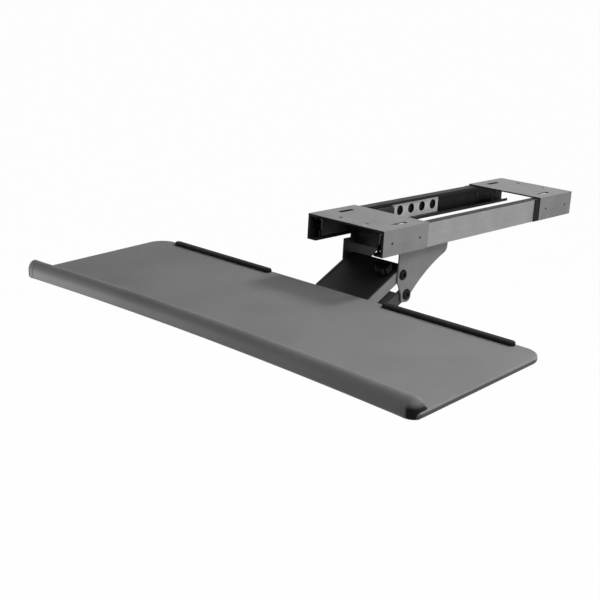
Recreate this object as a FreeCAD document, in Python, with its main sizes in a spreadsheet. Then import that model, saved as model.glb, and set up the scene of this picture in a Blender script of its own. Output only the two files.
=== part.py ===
"""Under-desk keyboard tray on two ball-bearing slides.

Millimetres, +Z up, +X to the user's right, +Y towards the back of the desk.
The origin is the centre of the screw pattern, on the top plane that meets the desk.
At rest the carriage is pulled out to its front stop and the tray is level.
"""
import FreeCAD, Part
import math
import os
import re
import Sketcher

# Driving dimensions, each with its own name in the sheet
SIZES = [
    # desk frame
    ("rail_length", 457),
    ("rail_height", 32),
    ("rail_depth", 12.7),
    ("rail_sheet", 1.5),
    ("rail_lip", 4),
    ("frame_width", 126),
    ("plate_sheet", 2),
    ("front_plate_depth", 93),
    ("rear_plate_depth", 90),
    ("slot_length", 28),
    ("slot_width", 7),
    ("slot_spread", 89),
    ("slot_end_distance", 53.5),
    ("pilot_diameter", 5),
    ("pilot_spread", 44),
    ("pilot_end_distance", 16.5),
    ("rivet_diameter", 4),
    ("rivet_head_diameter", 7),
    ("rivet_head_height", 1),
    ("rivet_end_distance", 18),
    # slide member
    ("slide_length", 150),
    ("slide_front_gap", 11),
    ("slide_sheet", 1.2),
    ("slide_inset", 5.2),
    ("slide_flange", 5.7),
    ("slide_proud", 0.5),
    ("slide_rear_reserve", 46),
    # ball retainer
    ("retainer_length", 260),
    ("retainer_front_gap", 18),
    ("retainer_sheet", 0.8),
    ("retainer_web_offset", 4.2),
    ("retainer_leg", 6.4),
    ("retainer_hole_diameter", 14),
    ("retainer_hole_pitch", 26),
    ("retainer_end_margin", 13),
    ("ball_diameter", 3.2),
    ("ball_clearance", 0.15),
    # stops on the rails
    ("stop_tab_height", 9),
    ("bumper_thickness", 2.5),
    ("stop_gap", 0.3),
    ("band_length", 13),
    ("band_thickness", 1.5),
    # carriage
    ("side_plate_sheet", 2),
    ("side_plate_length", 105),
    ("side_plate_top_gap", 8),
    ("side_plate_notch", 14),
    ("side_plate_notch_drop", 4.7),
    ("side_plate_rear_drop", 16.7),
    ("side_plate_rear_arc", 200),
    ("side_plate_corner", 10),
    ("side_plate_tip_width", 20),
    ("side_plate_tip_drop", 10.5),
    ("side_plate_tip_corner", 7),
    ("carriage_screw_diameter", 4),
    ("carriage_screw_head_diameter", 8),
    ("carriage_screw_head_height", 1.8),
    ("carriage_screw_pitch", 28),
    ("cross_web_setback", 14),
    ("cross_web_flange", 14),
    ("cross_web_height", 36),
    ("cross_web_top_gap", 10),
    ("cross_web_sheet", 2),
    ("tie_bar_diameter", 8),
    ("tie_bar_end_distance", 12),
    ("tie_bar_drop", 25),
    # pivots of the arm
    ("pivot_setback", 65),
    ("pivot_drop", 69.2),
    ("pivot_edge_distance", 9),
    ("pivot_diameter", 10),
    ("pivot_head_diameter", 14),
    ("pivot_head_height", 3),
    ("link_offset_back", 11),
    ("link_offset_down", 28.5),
    ("link_bolt_diameter", 8),
    ("link_bolt_head_diameter", 15),
    ("link_bolt_head_height", 2.8),
    ("link_nut_height", 3.2),
    ("pivot_clearance", 0.05),
    ("open_pivot_clearance", 0.3),
    ("side_gap", 0.3),
    ("washer_gap", 0.1),
    ("washer_diameter", 18),
    # arm
    ("arm_angle", 26),
    ("arm_length", 120),
    ("arm_side_gap", 1.4),
    ("arm_sheet", 2),
    ("arm_top", 7),
    ("arm_bottom", 8),
    ("arm_rear", 10),
    ("arm_web_reach", 75),
    ("arm_neck_top", 1),
    ("arm_neck_slope", 4),
    ("arm_eye_radius", 8),
    ("arm_corner", 4),
    ("cover_thickness", 2),
    ("cover_setback", 2),
    ("cover_edge_radius", 1.2),
    # height clamp
    ("clamp_width", 21),
    ("clamp_rear", 8),
    ("clamp_front", 25),
    ("clamp_half_height", 7),
    ("clamp_slit", 1.2),
    ("clamp_web_gap", 0.2),
    ("height_knob_inset", 12.9),
    ("height_knob_reach", 14.5),
    ("height_knob_diameter", 23),
    ("height_knob_height", 13),
    ("height_stud_diameter", 6),
    ("stud_clearance", 0.5),
    ("knob_gap", 0.3),
    ("knob_flute_diameter", 5),
    ("knob_flute_count", 8),
    ("knob_crown", 2),
    # lower link
    ("link_sheet", 3),
    ("link_width", 18),
    ("link_side_gap", 0.2),
    ("link_web_sheet", 2),
    ("link_web_start", 11),
    ("link_web_end", 25),
    # tray head
    ("head_sheet", 2),
    ("head_front", 33),
    ("head_top", 9),
    ("head_lobe", 9),
    ("head_bottom", 37),
    ("head_rear", 20),
    ("head_corner", 7),
    ("head_web_height", 14),
    ("head_web_place", 12),
    ("tray_shaft_diameter", 8),
    ("tray_shaft_head_diameter", 13),
    ("tray_shaft_head_height", 2.5),
    ("tilt_bolt_diameter", 6),
    ("tilt_bolt_head_diameter", 11),
    ("tilt_bolt_head_height", 3),
    ("tilt_bolt_reach", 24),
    ("tilt_knob_hub_diameter", 16),
    ("tilt_knob_hub_length", 6),
    ("tilt_knob_diameter", 28),
    ("tilt_knob_length", 12),
    ("tilt_knob_bore_depth", 12),
    # tilt bracket
    ("ear_sheet", 2),
    ("ear_gap", 0.5),
    ("ear_rear", 10),
    ("ear_front", 38),
    ("ear_bottom", 13),
    ("ear_corner", 5),
    ("tilt_slot_half_angle", 14),
    ("tilt_slot_clearance", 0.2),
    ("bracket_sheet", 2),
    ("bracket_width", 120),
    ("bracket_rear", 14),
    ("bracket_front", 112),
    ("bracket_corner", 10),
    ("tray_screw_diameter", 4),
    ("tray_screw_head_diameter", 8),
    ("tray_screw_head_height", 2),
    ("tray_screw_depth", 5),
    ("tray_screw_spread", 100),
    ("tray_screw_pitch", 45),
    ("tray_screw_first", 8),
    # tray board
    ("tray_length", 635),
    ("tray_depth", 238),
    ("tray_thickness", 7),
    ("tray_reach", 101),
    ("tray_rise", 39.5),
    ("tray_angle", 2.5),
    ("tray_corner", 25),
    ("tray_front_corner", 13),
    ("tray_edge_radius", 2.4),
    ("front_bow", 11),
    # palm ridge and back strips
    ("ridge_height", 15),
    ("ridge_depth", 22),
    ("ridge_front_corner", 12.5),
    ("ridge_back_corner", 8),
    ("ridge_radius", 7),
    ("ridge_toe", 7),
    ("ridge_toe_edge", 0.4),
    ("ridge_toe_inset", 9),
    ("ridge_inset", 0.6),
    ("ridge_end_inset", 1.5),
    ("strip_length", 187),
    ("strip_opening", 189),
    ("strip_height", 5),
    ("strip_depth", 10),
    ("strip_setback", 2),
    ("strip_radius", 2.5),
]

document = FreeCAD.newDocument("KeyboardTray")
sheet = document.addObject("Spreadsheet::Sheet", "Sizes")
for row, (alias, value) in enumerate(SIZES, start=1):
    sheet.set(f"A{row}", alias)
    sheet.set(f"B{row}", str(value))
    sheet.setAlias(f"B{row}", alias)
document.recompute()

ALIASES = {alias for alias, _ in SIZES}
X_AXIS = FreeCAD.Vector(1, 0, 0)
Y_AXIS = FreeCAD.Vector(0, 1, 0)
Z_AXIS = FreeCAD.Vector(0, 0, 1)

# Places that several pieces share, worked out from the sizes
RAIL_OUTER = "(frame_width / 2 - plate_sheet)"
RAIL_INNER = f"({RAIL_OUTER} - rail_depth)"
RAIL_TOP = "(-plate_sheet)"
RAIL_BOTTOM = "(-plate_sheet - rail_height)"
SLIDE_INNER = f"({RAIL_INNER} - slide_proud)"
SLIDE_FRONT = "(-rail_length / 2 + slide_front_gap)"
SLIDE_TRAVEL = "(rail_length - slide_front_gap - slide_length - slide_rear_reserve)"
RETAINER_FRONT = "(-rail_length / 2 + retainer_front_gap)"
PLATE_OUTER = SLIDE_INNER
PLATE_INNER = f"({PLATE_OUTER} - side_plate_sheet)"
PIVOT_Y = "(-rail_length / 2 + pivot_setback)"
PIVOT_Z = "(-pivot_drop)"
LINK_Y = f"({PIVOT_Y} + link_offset_back)"
LINK_Z = f"({PIVOT_Z} - link_offset_down)"
PLATE_FRONT = f"({PIVOT_Y} - pivot_edge_distance)"
PLATE_REAR = f"({PLATE_FRONT} + side_plate_length)"
CROSS_WEB_FRONT = f"({PIVOT_Y} + cross_web_setback)"
HEAD_Y = f"({PIVOT_Y} - arm_length * cos(arm_angle))"
HEAD_Z = f"({PIVOT_Z} - arm_length * sin(arm_angle))"
ARM_OUTER = f"({PLATE_INNER} - arm_side_gap)"
ARM_INNER = f"({ARM_OUTER} - arm_sheet)"
KNOB_X = f"({ARM_OUTER} - height_knob_inset)"
LINK_OUTER = f"({ARM_OUTER} - link_side_gap)"
LINK_INNER = f"({LINK_OUTER} - link_sheet)"
HEAD_OUTER = f"({LINK_INNER} - side_gap)"
HEAD_INNER = f"({HEAD_OUTER} - head_sheet)"
EAR_OUTER = f"({HEAD_INNER} - ear_gap)"
EAR_INNER = f"({EAR_OUTER} - ear_sheet)"
TRAY_Y = f"({HEAD_Y} - tray_reach * cos(tray_angle) - tray_rise * sin(tray_angle))"
TRAY_Z = f"({HEAD_Z} - tray_reach * sin(tray_angle) + tray_rise * cos(tray_angle))"
BRACKET_TOP = "(tray_rise - tray_thickness)"
COVER_TOP = "(arm_top + cover_thickness)"
BOW_RADIUS = "((tray_length ^ 2 / 4 + front_bow ^ 2) / (2 * front_bow))"

nodes = {}


def bind(text):
    """Write an expression of size names as one that reads the sheet."""
    return re.sub(r"[a-z][a-z_]+", lambda m: f"Sizes.{m[0]}" if m[0] in ALIASES else m[0], text)


def number(text):
    """The value of an expression of size names."""
    return float(sheet.evalExpression(bind(str(text))))


def place(thing, x="0", y="0", z="0", angle=None, axis=X_AXIS):
    """Place an object with expressions, turned about an axis if an angle is given."""
    turn = FreeCAD.Rotation(axis, number(angle)) if angle else thing.Placement.Rotation
    thing.Placement = FreeCAD.Placement(FreeCAD.Vector(number(x), number(y), number(z)), turn)
    for name, text in (("x", x), ("y", y), ("z", z)):
        thing.setExpression(f"Placement.Base.{name}", bind(text))
    if angle and axis is X_AXIS:
        thing.setExpression("Placement.Rotation.Angle", bind(angle))
    return thing


def keep(label, thing):
    """Name an object as a sub-part of its own."""
    thing.Label = label
    nodes[label] = thing
    return thing


def new_body(label):
    return keep(label, document.addObject("PartDesign::Body", f"Body_{label}"))


def new_sketch(body, plane, offset="0"):
    """A sketch on one of the body's origin planes, moved along its normal."""
    sketch = body.newObject("Sketcher::SketchObject", f"Sketch_{body.Label}")
    support = [item for item in body.Origin.OriginFeatures if item.Role == plane][0]
    sketch.AttachmentSupport = [(support, "")]
    sketch.MapMode = "FlatFace"
    sketch.setExpression("AttachmentOffset.Base.z", bind(offset))
    return sketch


def fix_point(sketch, shape, spot, x, y):
    """Hold one point of the sketch at a place given by two expressions."""
    for kind, text in (("DistanceX", x), ("DistanceY", y)):
        rule = sketch.addConstraint(
            Sketcher.Constraint(kind, -1, 1, shape, spot, number(text)))
        sketch.setExpression(f"Constraints[{rule}]", bind(text))


def draw_outline(sketch, corners):
    """A closed outline of straight sides; a third entry in a corner bends the side that ends there.

    The bend is (radius, side), where side 1 bulges to the right of the way there and -1 to the left.
    """
    spots = [FreeCAD.Vector(number(c[0]), number(c[1]), 0) for c in corners]
    first = sketch.GeometryCount
    count = len(corners)
    starts = []
    for i in range(count):
        start, end = spots[i - 1], spots[i]
        bend = corners[i][2] if len(corners[i]) > 2 else None
        if bend is None:
            sketch.addGeometry(Part.LineSegment(start, end), False)
            starts.append((1, 2))
            continue
        radius, side = number(bend[0]), bend[1]
        chord = end - start
        to_left = FreeCAD.Vector(-chord.y, chord.x, 0) / chord.Length * side
        centre = (start + end) / 2 + to_left * (radius ** 2 - chord.Length ** 2 / 4) ** 0.5
        # the sketch keeps arcs anticlockwise, so one that bends to the left is drawn backwards
        low, high = (start, end) if side == 1 else (end, start)
        angles = [math.atan2(p.y - centre.y, p.x - centre.x) for p in (low, high)]
        circle = Part.Circle(centre, Z_AXIS, radius)
        sketch.addGeometry(Part.ArcOfCircle(circle, angles[0], angles[1]), False)
        starts.append((1, 2) if side == 1 else (2, 1))
        rule = sketch.addConstraint(Sketcher.Constraint("Radius", first + i, radius))
        sketch.setExpression(f"Constraints[{rule}]", bind(bend[0]))
    for i in range(count):
        after = (i + 1) % count
        sketch.addConstraint(Sketcher.Constraint(
            "Coincident", first + i, starts[i][1], first + after, starts[after][0]))
        fix_point(sketch, first + i, starts[i][1], corners[i][0], corners[i][1])


def draw_circle(sketch, x, y, radius):
    shape = sketch.GeometryCount
    centre = FreeCAD.Vector(number(x), number(y), 0)
    sketch.addGeometry(Part.Circle(centre, Z_AXIS, number(radius)), False)
    fix_point(sketch, shape, 3, x, y)
    rule = sketch.addConstraint(Sketcher.Constraint("Radius", shape, number(radius)))
    sketch.setExpression(f"Constraints[{rule}]", bind(radius))


def box_corners(x_low, x_high, y_low, y_high):
    return [(x_low, y_low), (x_high, y_low), (x_high, y_high), (x_low, y_high)]


def pad(body, sketch, length, both_ways=False):
    feature = body.newObject("PartDesign::Pad", f"Pad_{body.Label}")
    feature.Profile = sketch
    feature.Midplane = both_ways
    feature.setExpression("Length", bind(length))
    document.recompute()
    return feature


def pocket(body, sketch, length=None):
    """Cut the sketch through the whole body, or to a depth on both sides of its plane."""
    before = body.Shape.Volume
    feature = body.newObject("PartDesign::Pocket", f"Pocket_{body.Label}")
    feature.Profile = sketch
    feature.Midplane = True
    if length is None:
        feature.Type = "ThroughAll"
    else:
        feature.setExpression("Length", bind(length))
    document.recompute()
    if body.Shape.Volume >= before:
        raise RuntimeError(f"a pocket of {body.Label} cuts nothing")
    return feature


def drill(body, plane, holes, offset="0", length=None):
    """Cut round holes, each given as (x, y, radius) on the plane."""
    sketch = new_sketch(body, plane, offset)
    for x, y, radius in holes:
        draw_circle(sketch, x, y, radius)
    return pocket(body, sketch, length)


def round_edges(body, radius, chosen):
    """Fillet the edges of the body's last feature that the test picks out."""
    base = body.Tip
    names = [f"Edge{i}" for i, edge in enumerate(base.Shape.Edges, start=1) if chosen(edge)]
    feature = body.newObject("PartDesign::Fillet", f"Fillet_{body.Label}")
    feature.Base = (base, names)
    feature.setExpression("Radius", bind(radius))
    document.recompute()
    return feature


def along(axis, edge):
    """True for a straight edge that runs along an axis."""
    if len(edge.Vertexes) != 2 or edge.Curve.TypeId != "Part::GeomLine":
        return False
    run = edge.Vertexes[1].Point - edge.Vertexes[0].Point
    return run.cross(axis).Length < 1e-6 * run.Length


def near(edge, y, z, reach=0.01):
    """True for an edge whose middle lies near a place in the Y and Z of its body."""
    middle = edge.CenterOfMass
    return abs(middle.y - number(y)) < reach and abs(middle.z - number(z)) < reach


def rod(name, radius, length, x="0", y="0", z="0", axis=X_AXIS):
    """A cylinder that starts at a place and runs along an axis."""
    cylinder = document.addObject("Part::Cylinder", name)
    cylinder.setExpression("Radius", bind(radius))
    cylinder.setExpression("Height", bind(length))
    cylinder.Placement.Rotation = FreeCAD.Rotation(Z_AXIS, axis)
    place(cylinder, x, y, z)
    return cylinder


def block(name, x, y, z, length, width, height):
    """A box that starts at its low corner."""
    box = document.addObject("Part::Box", name)
    box.setExpression("Length", bind(length))
    box.setExpression("Width", bind(width))
    box.setExpression("Height", bind(height))
    place(box, x, y, z)
    return box


def fuse(name, things):
    joined = document.addObject("Part::MultiFuse", name)
    joined.Shapes = things
    joined.Refine = True
    return joined


def cut(name, base, tools):
    trimmed = document.addObject("Part::Cut", name)
    trimmed.Base = base
    trimmed.Tool = tools[0] if len(tools) == 1 else fuse(f"{name}_tools", tools)
    return trimmed


def group(name, things):
    """Several separate solids in one sub-part."""
    compound = document.addObject("Part::Compound", name)
    compound.Links = things
    return compound


def side_spans(inner, outer):
    """The low edge of a plate that lies between two distances from the middle, on each side."""
    return {"left": f"(-{outer})", "right": inner}


def at_side(side, text):
    """A distance outwards from the middle, as a place on X."""
    return f"(-1 * ({text}))" if side == "left" else f"({text})"


def outward(side, depth):
    """A place on X at a depth inwards from a rail's outer face."""
    return at_side(side, f"{RAIL_OUTER} - ({depth})")


SIDES = ("left", "right")


def make_outer_rails():
    """Two C-shaped rails, open to the middle, with a stop tab near each end."""
    for side in SIDES:
        body = new_body(f"outer_rail_{side}")
        sketch = new_sketch(body, "XZ_Plane")
        section = [
            ("0", "0"), ("rail_depth", "0"), ("rail_depth", "rail_lip"),
            ("rail_depth - rail_sheet", "rail_lip"), ("rail_depth - rail_sheet", "rail_sheet"),
            ("rail_sheet", "rail_sheet"), ("rail_sheet", "rail_height - rail_sheet"),
            ("rail_depth - rail_sheet", "rail_height - rail_sheet"),
            ("rail_depth - rail_sheet", "rail_height - rail_lip"),
            ("rail_depth", "rail_height - rail_lip"), ("rail_depth", "rail_height"),
            ("0", "rail_height"),
        ]
        draw_outline(sketch, [(outward(side, u), f"{RAIL_TOP} - ({w})") for u, w in section])
        pad(body, sketch, "rail_length", both_ways=True)
        tabs = new_sketch(body, "XZ_Plane", "0")
        tab_low = f"{RAIL_BOTTOM} + rail_sheet"
        tab = box_corners(outward(side, "rail_depth"), outward(side, "rail_depth - rail_sheet"),
                          tab_low, f"{RAIL_BOTTOM} + rail_lip + stop_tab_height")
        draw_outline(tabs, tab)
        for end in ("front", "rear"):
            sketch = tabs if end == "front" else new_sketch(body, "XZ_Plane", "0")
            if end == "rear":
                draw_outline(sketch, tab)
            # the plane's normal points to the front, so a place on Y is taken with its sign changed
            sketch.setExpression("AttachmentOffset.Base.z", bind(f"-1 * {STOP_TAB[end]}"))
            pad(body, sketch, "rail_sheet", both_ways=True)
        holes = [(f"{rivet_y}", RIVET_Z, "rivet_diameter / 2") for rivet_y in RIVET_PLACES]
        drill(body, "YZ_Plane", holes, at_side(side, f"{RAIL_OUTER}"), "2 * rail_sheet + 1")


# The middle of each stop tab on Y
STOP_TAB = {
    "front": f"({SLIDE_FRONT} - stop_gap - bumper_thickness - rail_sheet / 2)",
    "rear": f"({SLIDE_FRONT} + slide_length + {SLIDE_TRAVEL} + stop_gap + bumper_thickness"
            " + rail_sheet / 2)",
}
RIVET_Z = f"({RAIL_TOP} - rail_height / 2)"
RIVET_PLACES = [
    "(-rail_length / 2 + rivet_end_distance)",
    "(-rail_length / 2 + front_plate_depth - rivet_end_distance)",
    "(rail_length / 2 - rear_plate_depth + rivet_end_distance)",
    "(rail_length / 2 - rivet_end_distance)",
]


def make_cross_plate(label, low_y, high_y, slot_y, pilot_y, rivets):
    """An inverted channel over both rails, with two long slots and two pilot holes."""
    body = new_body(label)
    half = "frame_width / 2"
    sketch = new_sketch(body, "XZ_Plane", f"-1 * (({low_y}) + ({high_y})) / 2")
    draw_outline(sketch, [
        (f"-{half}", "0"), (half, "0"), (half, RAIL_BOTTOM),
        (RAIL_OUTER, RAIL_BOTTOM), (RAIL_OUTER, RAIL_TOP),
        (f"-1 * {RAIL_OUTER}", RAIL_TOP), (f"-1 * {RAIL_OUTER}", RAIL_BOTTOM),
        (f"-{half}", RAIL_BOTTOM),
    ])
    pad(body, sketch, f"({high_y}) - ({low_y})", both_ways=True)
    straight = "(slot_length - slot_width) / 2"
    sketch = new_sketch(body, "XY_Plane")
    ends = []
    for sign in ("-1", "1"):
        middle = f"({sign} * slot_spread / 2)"
        draw_outline(sketch, box_corners(
            f"{middle} - slot_width / 2", f"{middle} + slot_width / 2",
            f"{slot_y} - {straight}", f"{slot_y} + {straight}"))
        ends += [(middle, f"{slot_y} {way} {straight}", "slot_width / 2") for way in "+-"]
    pocket(body, sketch, "2 * plate_sheet + 2")
    drill(body, "XY_Plane", ends, "0", "2 * plate_sheet + 2")
    pilots = [(f"{sign} * pilot_spread / 2", pilot_y, "pilot_diameter / 2") for sign in ("-1", "1")]
    drill(body, "XY_Plane", pilots, "0", "2 * plate_sheet + 2")
    drill(body, "YZ_Plane", [(y, RIVET_Z, "rivet_diameter / 2") for y in rivets])


def make_frame_rivets():
    """Flush rivets through the channel's sides and the rails, with low heads inside."""
    rivets = []
    for side in SIDES:
        for i, y in enumerate(RIVET_PLACES):
            sign = 1 if side == "right" else -1
            inwards = FreeCAD.Vector(-sign, 0, 0)
            shank = rod(f"Rivet_{side}_{i}", "rivet_diameter / 2", "plate_sheet + rail_sheet",
                        at_side(side, "frame_width / 2"), y, RIVET_Z, inwards)
            head = rod(f"RivetHead_{side}_{i}", "rivet_head_diameter / 2", "rivet_head_height",
                       at_side(side, f"{RAIL_OUTER} - rail_sheet"), y, RIVET_Z, inwards)
            rivets.append(fuse(f"RivetWhole_{side}_{i}", [shank, head]))
    keep("frame_rivets", group("FrameRivets", rivets))


def make_rail_bumpers():
    """Rubber pads at the stop tabs, and a band on each rail ahead of the rear plate."""
    pads = []
    for side, low_x in side_spans(RAIL_INNER, f"({RAIL_INNER} + rail_sheet)").items():
        for end, tab in STOP_TAB.items():
            low_y = f"{tab} + rail_sheet / 2" if end == "front" else \
                f"{tab} - rail_sheet / 2 - bumper_thickness"
            pads.append(block(f"Bumper_{side}_{end}", low_x, low_y, f"{RAIL_BOTTOM} + rail_lip",
                              "rail_sheet", "bumper_thickness", "stop_tab_height"))
    plate_front = "(rail_length / 2 - rear_plate_depth)"
    for side, low_x in side_spans(RAIL_OUTER, f"({RAIL_OUTER} + band_thickness)").items():
        pads.append(block(f"Band_{side}", low_x, f"{plate_front} - band_length", RAIL_BOTTOM,
                          "band_thickness", "band_length", "rail_height"))
    keep("rail_bumpers", group("RailBumpers", pads))


def make_slide_members():
    """The inner members of the slides, which carry the carriage."""
    for side in SIDES:
        body = new_body(f"slide_member_{side}")
        web = "rail_depth + slide_proud"
        low = "rail_height - slide_inset"
        section = [
            (web, "slide_inset"), (f"{web} - slide_flange", "slide_inset"),
            (f"{web} - slide_flange", "slide_inset + slide_sheet"),
            (f"{web} - slide_sheet", "slide_inset + slide_sheet"),
            (f"{web} - slide_sheet", f"{low} - slide_sheet"),
            (f"{web} - slide_flange", f"{low} - slide_sheet"),
            (f"{web} - slide_flange", low), (web, low),
        ]
        sketch = new_sketch(body, "XZ_Plane", f"-1 * ({SLIDE_FRONT} + slide_length / 2)")
        draw_outline(sketch, [(outward(side, u), f"{RAIL_TOP} - ({w})") for u, w in section])
        pad(body, sketch, "slide_length", both_ways=True)
        drill(body, "YZ_Plane", [(y, CARRIAGE_SCREW_Z, "carriage_screw_diameter / 2")
                                 for y in CARRIAGE_SCREW_Y])


RETAINER_MIDDLE = f"({RETAINER_FRONT} + retainer_length / 2)"
BALL_DROP = "((rail_sheet + slide_inset) / 2)"
BALL_DEPTH = "(retainer_web_offset + retainer_leg - ball_diameter)"
CARRIAGE_SCREW_Z = f"({RAIL_TOP} - rail_height / 2)"
CARRIAGE_SCREW_Y = [f"({PLATE_REAR} - tie_bar_end_distance - {i} * carriage_screw_pitch)"
                    for i in range(3)]


def retainer_spots(pitch):
    """Places along the retainer, a pitch apart, as many as its length holds."""
    room = number("retainer_length - 2 * retainer_end_margin")
    count = int(room // number(pitch)) + 1
    return [f"({RETAINER_FRONT} + retainer_end_margin + {i} * {pitch})" for i in range(count)]


def make_ball_retainers():
    """Strips with a row of round holes, which carry the balls halfway with the slide."""
    spots = retainer_spots("retainer_hole_pitch")
    for side in SIDES:
        body = new_body(f"ball_retainer_{side}")
        near_web = "retainer_web_offset"
        tip = "retainer_web_offset + retainer_leg"
        top = f"{BALL_DROP} - retainer_sheet / 2"
        low = f"rail_height - {BALL_DROP} + retainer_sheet / 2"
        section = [
            (near_web, top), (tip, top), (tip, f"{top} + retainer_sheet"),
            (f"{near_web} + retainer_sheet", f"{top} + retainer_sheet"),
            (f"{near_web} + retainer_sheet", f"{low} - retainer_sheet"),
            (tip, f"{low} - retainer_sheet"), (tip, low), (near_web, low),
        ]
        sketch = new_sketch(body, "XZ_Plane", f"-1 * {RETAINER_MIDDLE}")
        draw_outline(sketch, [(outward(side, u), f"{RAIL_TOP} - ({w})") for u, w in section])
        pad(body, sketch, "retainer_length", both_ways=True)
        drill(body, "YZ_Plane", [(y, CARRIAGE_SCREW_Z, "retainer_hole_diameter / 2") for y in spots])
        drill(body, "XY_Plane", [(outward(side, BALL_DEPTH), y, "ball_diameter / 2 + ball_clearance")
                                 for y in spots])
        balls = []
        for i, y in enumerate(spots):
            for row, drop in (("top", BALL_DROP), ("low", f"rail_height - {BALL_DROP}")):
                ball = document.addObject("Part::Sphere", f"Ball_{side}_{row}_{i}")
                ball.setExpression("Radius", bind("ball_diameter / 2"))
                place(ball, outward(side, BALL_DEPTH), y, f"{RAIL_TOP} - ({drop})")
                balls.append(ball)
        keep(f"bearing_balls_{side}", group(f"Balls_{side}", balls))


def make_side_plates():
    """Fan-shaped plates that hang from the slide members and carry the arm's pivots."""
    tip_rear = f"({LINK_Y} + side_plate_tip_width / 2)"
    tip_front = f"({LINK_Y} - side_plate_tip_width / 2)"
    tip_low = f"({LINK_Z} - side_plate_tip_drop)"
    top = f"({RAIL_TOP} - side_plate_top_gap)"
    rear_low = f"({RAIL_BOTTOM} - side_plate_rear_drop)"
    notch_low = f"({RAIL_BOTTOM} - side_plate_notch_drop)"
    corners = [
        (f"{PLATE_FRONT} + side_plate_notch", top), (PLATE_REAR, top), (PLATE_REAR, rear_low),
        (tip_rear, LINK_Z, ("side_plate_rear_arc", 1)),
        (tip_rear, tip_low), (tip_front, tip_low), (tip_front, LINK_Z),
        (PLATE_FRONT, f"{PIVOT_Z} - pivot_edge_distance"), (PLATE_FRONT, notch_low),
        (f"{PLATE_FRONT} + side_plate_notch", notch_low),
    ]
    for side, low_x in side_spans(PLATE_INNER, PLATE_OUTER).items():
        body = new_body(f"side_plate_{side}")
        sketch = new_sketch(body, "YZ_Plane", low_x)
        draw_outline(sketch, corners)
        pad(body, sketch, "side_plate_sheet")
        round_edges(body, "side_plate_corner", lambda e: along(X_AXIS, e) and near(
            e, PLATE_REAR, rear_low))
        round_edges(body, "side_plate_tip_corner", lambda e: along(X_AXIS, e) and (
            near(e, tip_rear, tip_low) or near(e, tip_front, tip_low)))
        drill(body, "YZ_Plane", [(PIVOT_Y, PIVOT_Z, "pivot_diameter / 2"),
                                 (LINK_Y, LINK_Z, "link_bolt_diameter / 2")])
        drill(body, "YZ_Plane", [(y, CARRIAGE_SCREW_Z, "carriage_screw_diameter / 2")
                                 for y in CARRIAGE_SCREW_Y])


def make_cross_web():
    """A channel between the side plates, open to the back, above the arm's rear end."""
    body = new_body("carriage_cross_web")
    front = CROSS_WEB_FRONT
    rear = f"({front} + cross_web_flange)"
    top = f"({RAIL_TOP} - cross_web_top_gap)"
    low = f"({top} - cross_web_height)"
    sheet_in = "cross_web_sheet"
    sketch = new_sketch(body, "YZ_Plane")
    draw_outline(sketch, [
        (front, low), (rear, low), (rear, f"{low} + {sheet_in}"),
        (f"{front} + {sheet_in}", f"{low} + {sheet_in}"), (f"{front} + {sheet_in}", f"{top} - {sheet_in}"),
        (rear, f"{top} - {sheet_in}"), (rear, top), (front, top),
    ])
    pad(body, sketch, f"2 * {PLATE_INNER}", both_ways=True)


def make_tie_bar():
    """A round bar that holds the side plates apart at the back."""
    bar = rod("TieBar", "tie_bar_diameter / 2", f"2 * {PLATE_INNER}", f"-1 * {PLATE_INNER}",
              f"{PLATE_REAR} - tie_bar_end_distance", f"{RAIL_TOP} - tie_bar_drop - tie_bar_diameter")
    keep("carriage_tie_bar", bar)


def make_carriage_screws():
    """Screws that hold the side plates on the slide members."""
    screws = []
    for side in SIDES:
        outwards = FreeCAD.Vector(1 if side == "right" else -1, 0, 0)
        for i, y in enumerate(CARRIAGE_SCREW_Y):
            head_x = f"{PLATE_INNER} - carriage_screw_head_height"
            head = rod(f"CarriageHead_{side}_{i}", "carriage_screw_head_diameter / 2",
                       "carriage_screw_head_height", at_side(side, head_x), y, CARRIAGE_SCREW_Z,
                       outwards)
            shank = rod(f"CarriageShank_{side}_{i}", "carriage_screw_diameter / 2",
                        "side_plate_sheet + slide_sheet", at_side(side, PLATE_INNER), y,
                        CARRIAGE_SCREW_Z, outwards)
            screws.append(fuse(f"CarriageScrew_{side}_{i}", [head, shank]))
    keep("carriage_screws", group("CarriageScrews", screws))


def make_arm_pivot():
    """The fixed shaft that the arm turns on, with a head on each side plate."""
    shaft = rod("PivotShaft", "pivot_diameter / 2", f"2 * {PLATE_OUTER}", f"-1 * {PLATE_OUTER}",
                PIVOT_Y, PIVOT_Z)
    heads = []
    for side in SIDES:
        outwards = FreeCAD.Vector(1 if side == "right" else -1, 0, 0)
        heads.append(rod(f"PivotHead_{side}", "pivot_head_diameter / 2", "pivot_head_height",
                         at_side(side, PLATE_OUTER), PIVOT_Y, PIVOT_Z, outwards))
    keep("arm_pivot_shaft", fuse("ArmPivotShaft", [shaft] + heads))


def make_shoulder_bolts(label, y, z, outer, tip, nut_face, head="link_bolt_head_height"):
    """A pair of bolts along X, each with a head outside and a nut inside."""
    bolts = []
    for side in SIDES:
        inwards = FreeCAD.Vector(-1 if side == "right" else 1, 0, 0)
        head_part = rod(f"{label}_head_{side}", "link_bolt_head_diameter / 2", head,
                        at_side(side, f"{outer} + {head}"), y, z, inwards)
        shank = rod(f"{label}_shank_{side}", "link_bolt_diameter / 2", f"{outer} - ({tip})",
                    at_side(side, outer), y, z, inwards)
        nut = rod(f"{label}_nut_{side}", "link_bolt_head_diameter / 2", "link_nut_height",
                  at_side(side, nut_face), y, z, inwards)
        bolts.append(fuse(f"{label}_{side}", [head_part, shank, nut]))
    keep(label, group(f"{label}_pair", bolts))


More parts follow.
